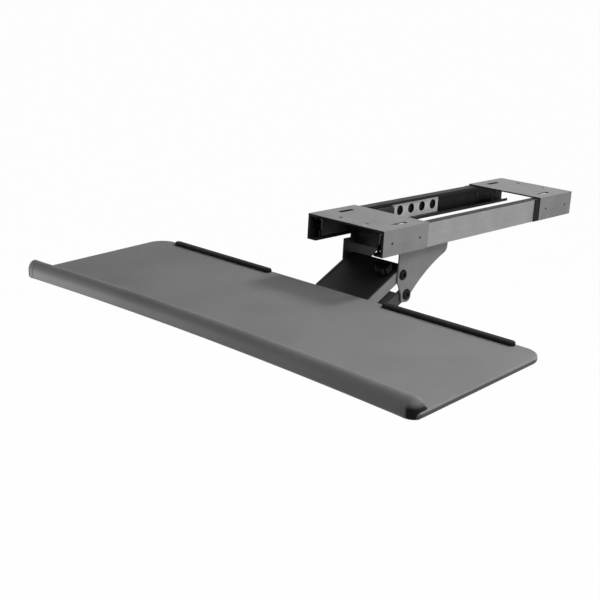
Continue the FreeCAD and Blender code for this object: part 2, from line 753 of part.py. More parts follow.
def make_pivot_washers():
    """Thin washers between the side plates and what turns beside them."""
    washers = []
    for name, y, z, bore, face in (
            ("Arm", PIVOT_Y, PIVOT_Z, "pivot_diameter / 2", ARM_OUTER),
            ("Link", LINK_Y, LINK_Z, "link_bolt_diameter / 2", LINK_OUTER)):
        for side in SIDES:
            outwards = FreeCAD.Vector(1 if side == "right" else -1, 0, 0)
            start = at_side(side, f"{face} + washer_gap")
            thick = f"{PLATE_INNER} - {face} - washer_gap"
            ring = rod(f"Washer{name}_{side}", "washer_diameter / 2", thick, start, y, z, outwards)
            hole = rod(f"WasherHole{name}_{side}", bore, thick, start, y, z, outwards)
            washers.append(cut(f"WasherRing{name}_{side}", ring, [hole]))
    keep("pivot_washers", group("PivotWashers", washers))


def make_arm():
    """The wide channel from the carriage to the tray, in its own frame: the front is -Y."""
    body = new_body("arm_channel")
    neck = "(-1 * (arm_web_reach + arm_neck_slope))"
    far = "(-1 * arm_length)"
    corners = [
        ("arm_rear", "-1 * arm_bottom"), ("arm_rear", "arm_top"),
        ("-1 * arm_web_reach", "arm_top"), (neck, "arm_neck_top"),
        (far, "arm_neck_top"), (far, "-1 * arm_bottom"),
    ]
    sketch = new_sketch(body, "YZ_Plane")
    draw_outline(sketch, corners)
    pad(body, sketch, f"2 * {ARM_OUTER}", both_ways=True)
    eyes = new_sketch(body, "YZ_Plane")
    draw_circle(eyes, far, "0", "arm_eye_radius")
    pad(body, eyes, f"2 * {ARM_OUTER}", both_ways=True)
    round_edges(body, "arm_corner", lambda e: along(X_AXIS, e) and near(
        e, "arm_rear", "-1 * arm_bottom"))
    inside = new_sketch(body, "YZ_Plane")
    draw_outline(inside, box_corners(
        f"{far} - 2 * arm_eye_radius", "2 * arm_rear", "-3 * arm_bottom", "arm_top - arm_sheet"))
    pocket(body, inside, f"2 * {ARM_INNER}")
    front_gap = new_sketch(body, "YZ_Plane")
    draw_outline(front_gap, box_corners(
        f"{far} - 2 * arm_eye_radius", neck, "-3 * arm_bottom", "2 * arm_top"))
    pocket(body, front_gap, f"2 * {ARM_INNER}")
    drill(body, "YZ_Plane", [("0", "0", "pivot_diameter / 2 + pivot_clearance")])
    drill(body, "YZ_Plane", [(far, "0", "tray_shaft_diameter / 2 + pivot_clearance")])
    window = new_sketch(body, "XY_Plane", "arm_top")
    draw_outline(window, box_corners(
        f"{KNOB_X} - clamp_width / 2 - clamp_web_gap",
        f"{KNOB_X} + clamp_width / 2 + clamp_web_gap",
        "-1 * clamp_front - clamp_web_gap", "clamp_rear + clamp_web_gap"))
    pocket(body, window, "2 * arm_sheet + 1")
    place(body, "0", PIVOT_Y, PIVOT_Z, "arm_angle")

    cover = new_body("arm_cover")
    sketch = new_sketch(cover, "XY_Plane", "arm_top")
    half = ARM_OUTER
    reach = "(-1 * (arm_web_reach - cover_setback))"
    draw_outline(sketch, box_corners(f"-1 * {half}", half, reach, "arm_rear"))
    pad(cover, sketch, "cover_thickness")
    top = number(COVER_TOP)
    round_edges(cover, "cover_edge_radius", lambda e: all(
        abs(v.Z - top) < 0.001 for v in e.Vertexes))
    drill(cover, "XY_Plane", [(KNOB_X, "-1 * height_knob_reach",
                               "height_stud_diameter / 2 + stud_clearance")],
          "arm_top", "3 * cover_thickness")
    place(cover, "0", PIVOT_Y, PIVOT_Z, "arm_angle")


def make_height_clamp():
    """A split block round the fixed shaft, squeezed by the stud of the height knob."""
    body = new_body("height_clamp")
    sketch = new_sketch(body, "YZ_Plane", KNOB_X)
    draw_outline(sketch, box_corners(
        "-1 * clamp_front", "clamp_rear", "-1 * clamp_half_height", "arm_top - clamp_web_gap"))
    pad(body, sketch, "clamp_width", both_ways=True)
    drill(body, "YZ_Plane", [("0", "0", "pivot_diameter / 2 + pivot_clearance")])
    slit = new_sketch(body, "YZ_Plane")
    draw_outline(slit, box_corners("-2 * clamp_front", "0", "-clamp_slit / 2", "clamp_slit / 2"))
    pocket(body, slit)
    drill(body, "XY_Plane", [(KNOB_X, "-1 * height_knob_reach",
                              "height_stud_diameter / 2 + pivot_clearance")])
    place(body, "0", PIVOT_Y, PIVOT_Z, "arm_angle")


def make_knob(label, x, y, z, diameter, length, base):
    """A fluted knob whose axis is Z in its own frame, with a domed edge."""
    body = new_body(label)
    sketch = new_sketch(body, "XY_Plane", base)
    draw_circle(sketch, x, y, f"{diameter} / 2")
    pad(body, sketch, length)
    top = number(f"{base} + {length}")
    round_edges(body, "knob_crown", lambda e: all(abs(v.Z - top) < 0.001 for v in e.Vertexes))
    flutes = new_sketch(body, "XY_Plane", base)
    count = int(number("knob_flute_count"))
    for i in range(count):
        turn = f"({i} * 360 / knob_flute_count)"
        draw_circle(flutes, f"{x} + {diameter} / 2 * cos({turn})", f"{y} + {diameter} / 2 * sin({turn})",
                    "knob_flute_diameter / 2")
    cutter = body.newObject("PartDesign::Pocket", f"Flutes_{label}")
    cutter.Profile = flutes
    cutter.Midplane = True
    cutter.setExpression("Length", bind(f"3 * {length}"))
    document.recompute()
    return body


def make_height_knob():
    """The black knob on the arm, whose stud closes the clamp."""
    x, y = KNOB_X, "(-1 * height_knob_reach)"
    base = f"({COVER_TOP} + knob_gap)"
    body = make_knob("height_knob", x, y, "0", "height_knob_diameter", "height_knob_height", base)
    stud = new_sketch(body, "XY_Plane", "-1 * clamp_half_height")
    draw_circle(stud, x, y, "height_stud_diameter / 2")
    pad(body, stud, f"{base} + clamp_half_height")
    place(body, "0", PIVOT_Y, PIVOT_Z, "arm_angle")


def make_lower_links():
    """Two bars under the arm, parallel to it, joined by a web: they keep the tray level."""
    far = "(-1 * arm_length)"
    for side, low_x in side_spans(LINK_INNER, LINK_OUTER).items():
        body = new_body(f"lower_link_{side}")
        sketch = new_sketch(body, "YZ_Plane", low_x)
        draw_outline(sketch, box_corners(far, "0", "-link_width / 2", "link_width / 2"))
        pad(body, sketch, "link_sheet")
        for end in (far, "0"):
            eye = new_sketch(body, "YZ_Plane", low_x)
            draw_circle(eye, end, "0", "link_width / 2")
            pad(body, eye, "link_sheet")
        drill(body, "YZ_Plane", [
            ("0", "0", "link_bolt_diameter / 2 + pivot_clearance"),
            (far, "0", "link_bolt_diameter / 2 + open_pivot_clearance")])
        place(body, "0", LINK_Y, LINK_Z, "arm_angle")
    web = new_body("lower_link_web")
    sketch = new_sketch(web, "YZ_Plane")
    draw_outline(sketch, box_corners(
        "(-1 * (arm_length - link_web_end))", "(-1 * link_web_start)",
        "link_width / 2 - link_web_sheet", "link_width / 2"))
    pad(web, sketch, f"2 * {LINK_INNER}", both_ways=True)
    place(web, "0", LINK_Y, LINK_Z, "arm_angle")


def make_tray_head():
    """Two plates and a web on the arm's front shaft, kept level by the lower links."""
    corners = [
        ("-1 * head_front", "head_top"), ("-1 * head_front", "-1 * head_lobe"),
        ("-1 * head_web_place + link_sheet", "-1 * head_bottom"), ("head_rear", "-1 * head_bottom"),
        ("head_rear", "-1 * head_rear"), ("link_offset_back", "head_top"),
    ]
    for side, low_x in side_spans(HEAD_INNER, HEAD_OUTER).items():
        body = new_body(f"head_plate_{side}")
        sketch = new_sketch(body, "YZ_Plane", low_x)
        draw_outline(sketch, corners)
        pad(body, sketch, "head_sheet")
        round_edges(body, "head_corner", lambda e: along(X_AXIS, e))
        drill(body, "YZ_Plane", [
            ("0", "0", "tray_shaft_diameter / 2"),
            ("link_offset_back", "-1 * link_offset_down", "link_bolt_diameter / 2"),
            ("-1 * tilt_bolt_reach", "0", "tilt_bolt_diameter / 2")])
        place(body, "0", HEAD_Y, HEAD_Z)
    web = block("HeadWeb", f"-1 * {HEAD_INNER}", f"{HEAD_Y} - head_web_place",
                f"{HEAD_Z} - head_bottom + 1", f"2 * {HEAD_INNER}", "head_sheet", "head_web_height")
    keep("head_cross_web", web)

    shaft = rod("TrayShaftRod", "tray_shaft_diameter / 2", f"2 * ({ARM_OUTER} + side_gap)",
                f"-1 * ({ARM_OUTER} + side_gap)", HEAD_Y, HEAD_Z)
    heads = []
    for side in SIDES:
        outwards = FreeCAD.Vector(1 if side == "right" else -1, 0, 0)
        heads.append(rod(f"TrayShaftHead_{side}", "tray_shaft_head_diameter / 2",
                         "tray_shaft_head_height", at_side(side, f"{ARM_OUTER} + side_gap"),
                         HEAD_Y, HEAD_Z, outwards))
    keep("tray_shaft", fuse("TrayShaft", [shaft] + heads))


def make_tilt_lock():
    """The clamp bolt through the head and the ears, and the knob on its right end."""
    y = f"{HEAD_Y} - tilt_bolt_reach"
    knob_face = f"({HEAD_OUTER} + side_gap)"
    tip = f"({knob_face} + tilt_knob_bore_depth - side_gap)"
    shank = rod("TiltBoltShank", "tilt_bolt_diameter / 2", f"{HEAD_OUTER} + {tip}",
                f"-1 * {HEAD_OUTER}", y, HEAD_Z)
    head = rod("TiltBoltHead", "tilt_bolt_head_diameter / 2", "tilt_bolt_head_height",
               f"-1 * ({HEAD_OUTER} + tilt_bolt_head_height)", y, HEAD_Z)
    keep("tilt_clamp_bolt", fuse("TiltClampBolt", [shank, head]))

    body = make_knob("tilt_knob", "0", "0", "0", "tilt_knob_diameter", "tilt_knob_length",
                     "tilt_knob_hub_length")
    hub = new_sketch(body, "XY_Plane")
    draw_circle(hub, "0", "0", "tilt_knob_hub_diameter / 2")
    pad(body, hub, "tilt_knob_hub_length")
    drill(body, "XY_Plane", [("0", "0", "tilt_bolt_diameter / 2 + pivot_clearance")], "0",
          "2 * tilt_knob_bore_depth")
    body.Placement.Rotation = FreeCAD.Rotation(Z_AXIS, X_AXIS)
    place(body, knob_face, y, HEAD_Z)


def make_tilt_bracket():
    """The plate under the tray board, with two ears on the front shaft."""
    body = new_body("tilt_bracket")
    plate_low = f"({BRACKET_TOP} - bracket_sheet)"
    sketch = new_sketch(body, "XY_Plane", plate_low)
    draw_outline(sketch, box_corners(
        "-bracket_width / 2", "bracket_width / 2", "-1 * bracket_front", "bracket_rear"))
    pad(body, sketch, "bracket_sheet")
    round_edges(body, "bracket_corner", lambda e: along(Z_AXIS, e))
    ear = [
        ("ear_rear", plate_low), ("ear_rear", "-1 * ear_rear"),
        ("-1 * ear_front + ear_bottom", "-1 * ear_bottom"),
        ("-1 * ear_front", "-1 * ear_bottom"), ("-1 * ear_front", plate_low),
    ]
    for low_x in side_spans(EAR_INNER, EAR_OUTER).values():
        sketch = new_sketch(body, "YZ_Plane", low_x)
        draw_outline(sketch, ear)
        pad(body, sketch, "ear_sheet")
    round_edges(body, "ear_corner", lambda e: along(X_AXIS, e) and
                e.CenterOfMass.z < number("-1 * ear_rear") + 0.01)
    drill(body, "YZ_Plane", [("0", "0", "tray_shaft_diameter / 2 + pivot_clearance")])
    half = "(tilt_bolt_diameter / 2 + tilt_slot_clearance)"
    inner = f"(tilt_bolt_reach - {half})"
    outer = f"(tilt_bolt_reach + {half})"
    turn = "tilt_slot_half_angle"
    sketch = new_sketch(body, "YZ_Plane")
    draw_outline(sketch, [
        (f"-1 * {inner} * cos({turn})", f"{inner} * sin({turn})"),
        (f"-1 * {outer} * cos({turn})", f"{outer} * sin({turn})"),
        (f"-1 * {outer} * cos({turn})", f"-1 * {outer} * sin({turn})", (outer, 1)),
        (f"-1 * {inner} * cos({turn})", f"-1 * {inner} * sin({turn})"),
    ])
    pocket(body, sketch)
    drill(body, "YZ_Plane", [(f"-1 * tilt_bolt_reach * cos({turn})",
                              f"{sign} * tilt_bolt_reach * sin({turn})", half)
                             for sign in ("1", "-1")])
    drill(body, "XY_Plane", [(x, y, "tray_screw_diameter / 2") for x, y in TRAY_SCREWS])
    place(body, "0", HEAD_Y, HEAD_Z, "tray_angle")


# Places of the tray screws, from the front shaft
TRAY_SCREWS = [(f"{sign} * tray_screw_spread / 2", f"(-1 * (tray_screw_first + {i} * tray_screw_pitch))")
               for sign in ("-1", "1") for i in range(3)]


def make_tray_screws():
    """Screws up through the bracket into the tray board."""
    screws = []
    for i, (x, y) in enumerate(TRAY_SCREWS):
        low = f"({BRACKET_TOP} - bracket_sheet)"
        head = rod(f"TrayHead_{i}", "tray_screw_head_diameter / 2", "tray_screw_head_height", x, y,
                   f"{low} - tray_screw_head_height", Z_AXIS)
        shank = rod(f"TrayShank_{i}", "tray_screw_diameter / 2", "bracket_sheet + tray_screw_depth", x,
                    y, low, Z_AXIS)
        screws.append(fuse(f"TrayScrew_{i}", [head, shank]))
    bunch = group("TrayScrews", screws)
    keep("tray_screws", place(bunch, "0", HEAD_Y, HEAD_Z, "tray_angle"))


def make_tray_board():
    """The board, with its front edge curved in a little, in a frame at its top middle."""
    body = new_body("tray_board")
    sketch = new_sketch(body, "XY_Plane", "-1 * tray_thickness")
    side, back, front = "tray_length / 2", "tray_depth / 2", "(-1 * tray_depth / 2)"
    draw_outline(sketch, [
        (f"-1 * {side}", back), (f"-1 * {side}", front),
        (side, front, (BOW_RADIUS, -1)), (side, back),
    ])
    pad(body, sketch, "tray_thickness")
    round_edges(body, "tray_corner", lambda e: along(Z_AXIS, e) and e.CenterOfMass.y > 0)
    round_edges(body, "tray_front_corner", lambda e: along(Z_AXIS, e) and near(
        e, front, "-1 * tray_thickness / 2", 1))
    round_edges(body, "tray_edge_radius", lambda e: abs(
        e.BoundBox.ZMax + number("tray_thickness")) < 0.001)
    drill(body, "XY_Plane", [(x, f"tray_reach + {y}", "tray_screw_diameter / 2")
                             for x, y in TRAY_SCREWS], "-1 * tray_thickness", "2 * tray_screw_depth")
    place(body, "0", TRAY_Y, TRAY_Z, "tray_angle")


def make_palm_ridge():
    """The raised front lip, which follows the board's front curve, with a hollow toe behind it."""
    body = new_body("palm_ridge")
    middle = f"(-1 * tray_depth / 2 + front_bow - {BOW_RADIUS})"
    front = f"({BOW_RADIUS} + ridge_inset)"
    back = f"({front} + ridge_depth)"
    side = "(tray_length / 2 - ridge_end_inset)"
    front_y = f"({middle} + sqrt({front} ^ 2 - {side} ^ 2))"
    back_y = f"({middle} + sqrt({back} ^ 2 - {side} ^ 2))"
    plan = new_sketch(body, "XY_Plane")
    draw_outline(plan, [
        (f"-1 * {side}", back_y, (back, 1)), (f"-1 * {side}", front_y),
        (side, front_y, (front, -1)), (side, back_y),
    ])
    pad(body, plan, "ridge_height")
    round_edges(body, "ridge_front_corner", lambda e: along(Z_AXIS, e) and near(
        e, front_y, "ridge_height / 2", 0.1))
    round_edges(body, "ridge_back_corner", lambda e: along(Z_AXIS, e) and near(
        e, back_y, "ridge_height / 2", 0.1))
    top = number("ridge_height")
    round_edges(body, "ridge_radius", lambda e: all(abs(v.Z - top) < 0.001 for v in e.Vertexes))
    toe = new_sketch(body, "YZ_Plane")
    toe.setExpression("AttachmentOffset.Base.x", bind(middle))
    inner, outer = f"({back} - 1)", f"({back} + ridge_toe)"
    draw_outline(toe, [
        (inner, "0"), (outer, "0"), (outer, "ridge_toe_edge"), (inner, "ridge_toe", ("1.2 * ridge_toe", -1)),
    ])
    turned = body.newObject("PartDesign::Revolution", "RidgeToe")
    turned.Profile = toe
    turned.ReferenceAxis = (toe, ["V_Axis"])
    turned.Midplane = True
    turned.setExpression("Angle", bind(f"2 * asin(({side} - ridge_toe_inset) / {outer})"))
    document.recompute()
    place(body, "0", TRAY_Y, TRAY_Z, "tray_angle")


def make_back_strips():
    """Two raised strips along the back edge, with an opening between them."""
    for side in SIDES:
        low_x = "strip_opening / 2" if side == "right" else "(-1 * (strip_opening / 2 + strip_length))"
        body = new_body(f"back_strip_{side}")
        sketch = new_sketch(body, "XY_Plane")
        high_y = "(tray_depth / 2 - strip_setback)"
        draw_outline(sketch, box_corners(
            low_x, f"{low_x} + strip_length", f"{high_y} - strip_depth", high_y))
        pad(body, sketch, "strip_height")
        top = number("strip_height")
        round_edges(body, "strip_radius", lambda e: along(Z_AXIS, e) or all(
            abs(v.Z - top) < 0.001 for v in e.Vertexes))
        place(body, "0", TRAY_Y, TRAY_Z, "tray_angle")


def check_and_write():
    """Write each sub-part, once every object is sound."""
    document.recompute()
    for thing in document.Objects:
        if "Invalid" in thing.State or "Error" in thing.State:
            raise RuntimeError(f"{thing.Label} has failed: {thing.State}")
    for label, thing in nodes.items():
        if thing.Shape.isNull() or not thing.Shape.isValid():
            raise RuntimeError(f"the shape of {label} isn't sound")
    os.makedirs("parts", exist_ok=True)
    for label, thing in nodes.items():
        thing.Shape.exportStep(f"parts/{label}.step")
        box = thing.Shape.BoundBox
        print(f"{label:24s} solids {len(thing.Shape.Solids):3d} volume {thing.Shape.Volume:10.1f} "
              f"x {box.XMin:7.1f} {box.XMax:7.1f} y {box.YMin:7.1f} {box.YMax:7.1f} "
              f"z {box.ZMin:7.1f} {box.ZMax:7.1f}")


make_outer_rails()
front_edge = "(-rail_length / 2)"
rear_edge = "(rail_length / 2)"
make_cross_plate("front_cross_plate", front_edge, f"{front_edge} + front_plate_depth",
                 f"({front_edge} + slot_end_distance)", f"({front_edge} + pilot_end_distance)",
                 RIVET_PLACES[:2])
make_cross_plate("rear_cross_plate", f"{rear_edge} - rear_plate_depth", rear_edge,
                 f"({rear_edge} - slot_end_distance)", f"({rear_edge} - pilot_end_distance)",
                 RIVET_PLACES[2:])
make_frame_rivets()
make_rail_bumpers()
make_slide_members()
make_ball_retainers()
make_side_plates()
make_cross_web()
make_tie_bar()
make_carriage_screws()
make_arm_pivot()
make_shoulder_bolts("link_pivot_bolts", LINK_Y, LINK_Z, PLATE_OUTER,
                    f"{LINK_INNER} - side_gap - link_nut_height", f"{LINK_INNER} - side_gap")
make_pivot_washers()
make_arm()
make_height_clamp()
make_height_knob()
make_lower_links()
make_tray_head()
make_shoulder_bolts("head_link_bolts", f"({HEAD_Y} + link_offset_back)",
                    f"({HEAD_Z} - link_offset_down)", f"({LINK_OUTER} + side_gap)",
                    f"{HEAD_INNER} - link_nut_height", HEAD_INNER)
make_tilt_lock()
make_tilt_bracket()
make_tray_screws()
make_tray_board()
make_palm_ridge()
make_back_strips()
check_and_write()
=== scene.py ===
import math

import bmesh
import bpy
from mathutils import Matrix, Vector


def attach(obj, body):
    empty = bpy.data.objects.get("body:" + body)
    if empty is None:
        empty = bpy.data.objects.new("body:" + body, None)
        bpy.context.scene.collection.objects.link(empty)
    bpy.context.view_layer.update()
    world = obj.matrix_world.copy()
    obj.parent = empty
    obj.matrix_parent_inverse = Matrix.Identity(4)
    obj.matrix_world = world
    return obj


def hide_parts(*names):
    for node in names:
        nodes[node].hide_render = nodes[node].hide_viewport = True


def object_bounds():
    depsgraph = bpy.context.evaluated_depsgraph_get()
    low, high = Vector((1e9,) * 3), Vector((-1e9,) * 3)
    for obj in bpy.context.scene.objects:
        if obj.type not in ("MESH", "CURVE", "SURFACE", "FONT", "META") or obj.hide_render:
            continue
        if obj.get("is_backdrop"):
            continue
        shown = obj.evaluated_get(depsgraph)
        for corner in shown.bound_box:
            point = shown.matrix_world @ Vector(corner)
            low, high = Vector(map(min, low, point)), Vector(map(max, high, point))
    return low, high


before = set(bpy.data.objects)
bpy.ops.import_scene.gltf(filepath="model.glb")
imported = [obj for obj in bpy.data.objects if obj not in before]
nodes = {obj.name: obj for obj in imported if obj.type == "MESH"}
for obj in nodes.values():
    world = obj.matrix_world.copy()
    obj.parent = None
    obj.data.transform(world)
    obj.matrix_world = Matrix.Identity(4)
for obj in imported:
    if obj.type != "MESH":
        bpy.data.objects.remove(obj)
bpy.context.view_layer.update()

# Places that the new pieces share with the model, in millimetres. A pivot is (y, z).
ARM_TURN = math.radians(26)
ARM_LENGTH = 120
ARM_PIVOT = (-163.5, -69.2)
LINK_PIVOT = (-152.5, -97.7)
HEAD_PIVOT = (ARM_PIVOT[0] - ARM_LENGTH * math.cos(ARM_TURN),
              ARM_PIVOT[1] - ARM_LENGTH * math.sin(ARM_TURN))
HEAD_LINK = (HEAD_PIVOT[0] + 11, HEAD_PIVOT[1] - 28.5)
TILT_BOLT = (HEAD_PIVOT[0] - 24, HEAD_PIVOT[1])
TRAY_TURN = math.radians(2.5)
TRAY_AHEAD = 101  # from the shaft forward to the middle of the board
TRAY_ABOVE = 39.5  # from the shaft up to the board's top
TRAY_HALF = 317.5
TRAY_BACK = 119
TRAY_FRONT = -119
BOARD_THICKNESS = 7.0
BOW = 11
BOW_RADIUS = (TRAY_HALF ** 2 + BOW ** 2) / (2 * BOW)
BOW_CENTRE = TRAY_FRONT + BOW - BOW_RADIUS

SHARP_ANGLE = math.radians(35)


# ---------------------------------------------------------------- materials

def srgb(value):
    """A grey or colour as it looks on screen, 0 to 255, in the linear values the shader takes."""
    channels = value if isinstance(value, tuple) else (value,) * 3
    linear = []
    for c in channels:
        c = c / 255
        linear.append(c / 12.92 if c <= 0.04045 else ((c + 0.055) / 1.055) ** 2.4)
    return (*linear, 1)


def cool(grey, blue):
    """A grey with a little more blue."""
    return srgb((grey, grey, grey + blue))


class Nodes:
    """A material's node tree, with short calls to add and link nodes."""

    def __init__(self, name):
        self.material = bpy.data.materials.new(name)
        self.material.use_nodes = True
        self.tree = self.material.node_tree
        self.shader = next(n for n in self.tree.nodes if n.type == "BSDF_PRINCIPLED")
        self.place = self.add("ShaderNodeTexCoord").outputs["Object"]

    def add(self, kind, **settings):
        node = self.tree.nodes.new(kind)
        for key, value in settings.items():
            setattr(node, key, value)
        return node

    def link(self, a, b):
        self.tree.links.new(a, b)

    def stretched(self, scale):
        """The place on the object, scaled along each axis."""
        mapping = self.add("ShaderNodeMapping")
        mapping.inputs["Scale"].default_value = scale
        self.link(self.place, mapping.inputs["Vector"])
        return mapping.outputs["Vector"]

    def noise(self, scale, detail=3, roughness=0.55, place=None):
        node = self.add("ShaderNodeTexNoise")
        node.inputs["Scale"].default_value = scale
        node.inputs["Detail"].default_value = detail
        node.inputs["Roughness"].default_value = roughness
        self.link(place or self.place, node.inputs["Vector"])
        return node.outputs["Fac"]

    def cells(self, scale):
        node = self.add("ShaderNodeTexVoronoi")
        node.inputs["Scale"].default_value = scale
        self.link(self.place, node.inputs["Vector"])
        return node.outputs["Distance"]

    def ramp(self, value, stops):
        node = self.add("ShaderNodeValToRGB")
        for element, (at, colour) in zip(node.color_ramp.elements, stops):
            element.position = at
            element.color = colour
        self.link(value, node.inputs["Fac"])
        return node.outputs["Color"]

    def spread(self, value, low, high, start=0.3, end=0.7):
        """The value between start and end, spread over low to high."""
        node = self.add("ShaderNodeMapRange")
        node.inputs["From Min"].default_value = start
        node.inputs["From Max"].default_value = end
        node.inputs["To Min"].default_value = low
        node.inputs["To Max"].default_value = high
        self.link(value, node.inputs["Value"])
        return node.outputs["Result"]

    def mixed(self, factor, base, colour):
        """The base, which goes over to a plain colour by the factor."""
        node = self.add("ShaderNodeMix", data_type="RGBA")
        self.link(factor, node.inputs[0])
        self.link(base, node.inputs[6])
        node.inputs[7].default_value = colour
        return node.outputs[2]

    def sum(self, operation, a, b=None):
        """A sum of one value, alone or with a number or a second value."""
        node = self.add("ShaderNodeMath", operation=operation)
        self.link(a, node.inputs[0])
        if isinstance(b, float):
            node.inputs[1].default_value = b
        elif b is not None:
            self.link(b, node.inputs[1])
        return node.outputs[0]

    def part(self, vector, axis):
        node = self.add("ShaderNodeSeparateXYZ")
        self.link(vector, node.inputs[0])
        return node.outputs[axis]

    def finish(self, colour, rough, height, depth, edge=0.0):
        """Link the colour, the roughness, and a bump, over softened edges where edge is given."""
        self.link(colour, self.shader.inputs["Base Color"])
        self.link(rough, self.shader.inputs["Roughness"])
        bump = self.add("ShaderNodeBump")
        bump.inputs["Distance"].default_value = depth
        bump.inputs["Strength"].default_value = 1.0
        self.link(height, bump.inputs["Height"])
        if edge:
            soft = self.add("ShaderNodeBevel", samples=4)
            soft.inputs["Radius"].default_value = edge
            self.link(soft.outputs["Normal"], bump.inputs["Normal"])
        self.link(bump.outputs["Normal"], self.shader.inputs["Normal"])
        return self.material


def coated_steel(name, grey, rough=0.48, wear=0.10, gloss=0.15):
    """Powder-coated sheet steel: fine orange peel, faint mottling, and paler rubbed edges."""
    m = Nodes(name)
    m.shader.inputs["Specular IOR Level"].default_value = gloss
    base = m.ramp(m.noise(26, 5, 0.6), [(0.3, cool(grey * 0.93, 2)), (0.72, cool(grey * 1.06, 2))])
    fleck = m.noise(2600, 2, 0.5)
    base = m.mixed(m.spread(fleck, 0, 0.22, 0.45, 0.75), base, srgb(min(255, grey * 1.35)))
    curve = m.add("ShaderNodeNewGeometry").outputs["Pointiness"]
    base = m.mixed(m.spread(curve, 0, wear, 0.52, 0.62), base, srgb(min(255, grey * 1.7 + 14)))
    cloud = m.sum("ADD", m.sum("MULTIPLY", m.noise(60, 4), 0.6), m.sum("MULTIPLY", fleck, 0.4))
    return m.finish(base, m.spread(cloud, rough - 0.07, rough + 0.09), m.noise(950), 0.00006,
                    0.0004)


def zinc(name, grey=176, rough=0.30, along=(60, 4, 60)):
    """Zinc-plated steel: drawn along the slide, with faint cloudy patches."""
    m = Nodes(name)
    m.shader.inputs["Metallic"].default_value = 1.0
    base = m.ramp(m.noise(45, 5, 0.65), [(0.3, srgb((grey * 0.86, grey * 0.88, grey * 0.9))),
                                         (0.7, srgb((grey * 1.06, grey * 1.06, grey * 1.05)))])
    grain = m.noise(30, 6, 0.7, m.stretched(along))
    base = m.mixed(m.spread(grain, 0, 0.25), base, srgb(grey * 0.72))
    return m.finish(base, m.spread(grain, rough - 0.08, rough + 0.12), grain, 0.00004, 0.0002)


def black_oxide(name, grey, rough):
    """Blackened steel: turned rings are too fine to see, but oil leaves uneven patches."""
    m = Nodes(name)
    m.shader.inputs["Specular IOR Level"].default_value = 0.12
    patch = m.noise(160, 5, 0.6)
    base = m.ramp(patch, [(0.3, srgb(grey * 0.8)), (0.7, srgb(grey * 1.45))])
    return m.finish(base, m.spread(patch, rough - 0.1, rough + 0.12), m.noise(1400), 0.00003,
                    0.0003)


def moulded(name, grey, rough, grain, depth, gloss=0.25, painted_shade_ends=None):
    """Moulded plastic: a fine spark-eroded grain, faint flow marks, and a satin sheen.

    A last argument (grey, low, high) paints shade on rounded ends: the faces that look sideways are
    darker below those heights.
    """
    m = Nodes(name)
    m.shader.inputs["Specular IOR Level"].default_value = gloss
    base = m.ramp(m.noise(9, 4, 0.5), [(0.3, cool(grey * 0.95, 1)), (0.7, cool(grey * 1.05, 1))])
    pebble = m.cells(grain)
    speck = m.noise(grain * 0.8, 2, 0.5)
    base = m.mixed(m.spread(speck, 0, 0.3, 0.4, 0.75), base, cool(grey * 1.22 + 4, 1))
    base = m.mixed(m.spread(pebble, 0.22, 0, 0.0, 0.35), base, srgb(grey * 0.78))
    # Painted shade: sideways faces go darker below the given heights
    if painted_shade_ends:
        dark, low, high = painted_shade_ends
        facing = m.part(m.add("ShaderNodeNewGeometry").outputs["Normal"], "X")
        sideways = m.spread(m.sum("ABSOLUTE", facing), 0, 1, 0.04, 0.3)
        below = m.spread(m.part(m.place, "Z"), 1, 0, low, high)
        base = m.mixed(m.sum("MULTIPLY", sideways, below), base, srgb(dark))
    height = m.sum("ADD", m.sum("MULTIPLY", pebble, 0.6), m.sum("MULTIPLY", speck, 0.5))
    return m.finish(base, m.spread(speck, rough - 0.06, rough + 0.08), height, depth)


def rubber(name, grey):
    """Soft dark foam rubber with a fine open skin."""
    m = Nodes(name)
    m.shader.inputs["Specular IOR Level"].default_value = 0.2
    skin = m.cells(900)
    soft = m.noise(24, 4)
    base = m.ramp(soft, [(0.3, srgb(grey * 0.85)), (0.72, srgb(grey * 1.3))])
    base = m.mixed(m.spread(skin, 0.35, 0, 0, 0.3), base, srgb(grey * 0.5))
    return m.finish(base, m.spread(soft, 0.66, 0.82), skin, 0.00012, 0.0003)


PLATE = coated_steel("plate_steel", 124, gloss=0.08)
# Painted shade: a near-black copy of the coated steel, for faces of the rails and plates that lie
# in shade
PAINTED_SHADE_STEEL = coated_steel("painted_shade_steel", 30, gloss=0.08)
RAIL = coated_steel("rail_steel", 142, 0.42, gloss=0.2)
# Painted shade: a dark copy of the plate steel for the left side plate, the cross web and the
# height clamp
SHADED = coated_steel("carriage_steel_painted_shade", 44, gloss=0.1)
COVER = coated_steel("arm_cover_steel", 34, wear=0.04)
# Painted shade: the links and their web are the plate steel painted darker, for the shade between
# the arm and the fins
LINKS = coated_steel("link_steel_painted_shade", 74, wear=0.05, gloss=0.1)
ZINC = zinc("zinc_plate")
# Painted reflection: a near-white non-metal coat stands in for the bright sheen of the zinc-plated
# retainers
RETAINER = coated_steel("retainer_zinc_painted_sheen", 232, 0.4, wear=0.02, gloss=0.4)
BALLS = zinc("ball_steel", 90, 0.3, (1, 1, 1))
# Painted shade: a dark copy of the zinc plate for the slide members, which sit in the rails' shade
SLIDE = zinc("slide_zinc_painted_shade", 84, 0.45)
BOLTS = black_oxide("black_oxide", 8, 0.5)
RIVETS = black_oxide("rivet_steel", 58, 0.4)
TRAY_TOP = moulded("tray_top", 130, 0.6, 1700, 0.00007, 0.06)
TRAY_EDGE = moulded("tray_edge", 66, 0.42, 1500, 0.00006)
RIDGE = moulded("ridge_skin", 124, 0.5, 1500, 0.00006, 0.12)
# Painted shade: the caps are the ridge's grey, with sideways faces near black low down where the
# ends turn from the light
CAPS = moulded("ridge_cap_painted_shade", 124, 0.5, 1500, 0.00006, 0.1, (6, -0.0875, -0.0815))
KNOB = moulded("knob_plastic", 8, 0.45, 1100, 0.00008, 0.12)
STRIP = rubber("strip_rubber", 12)
BUMPER = rubber("bumper_rubber", 18)

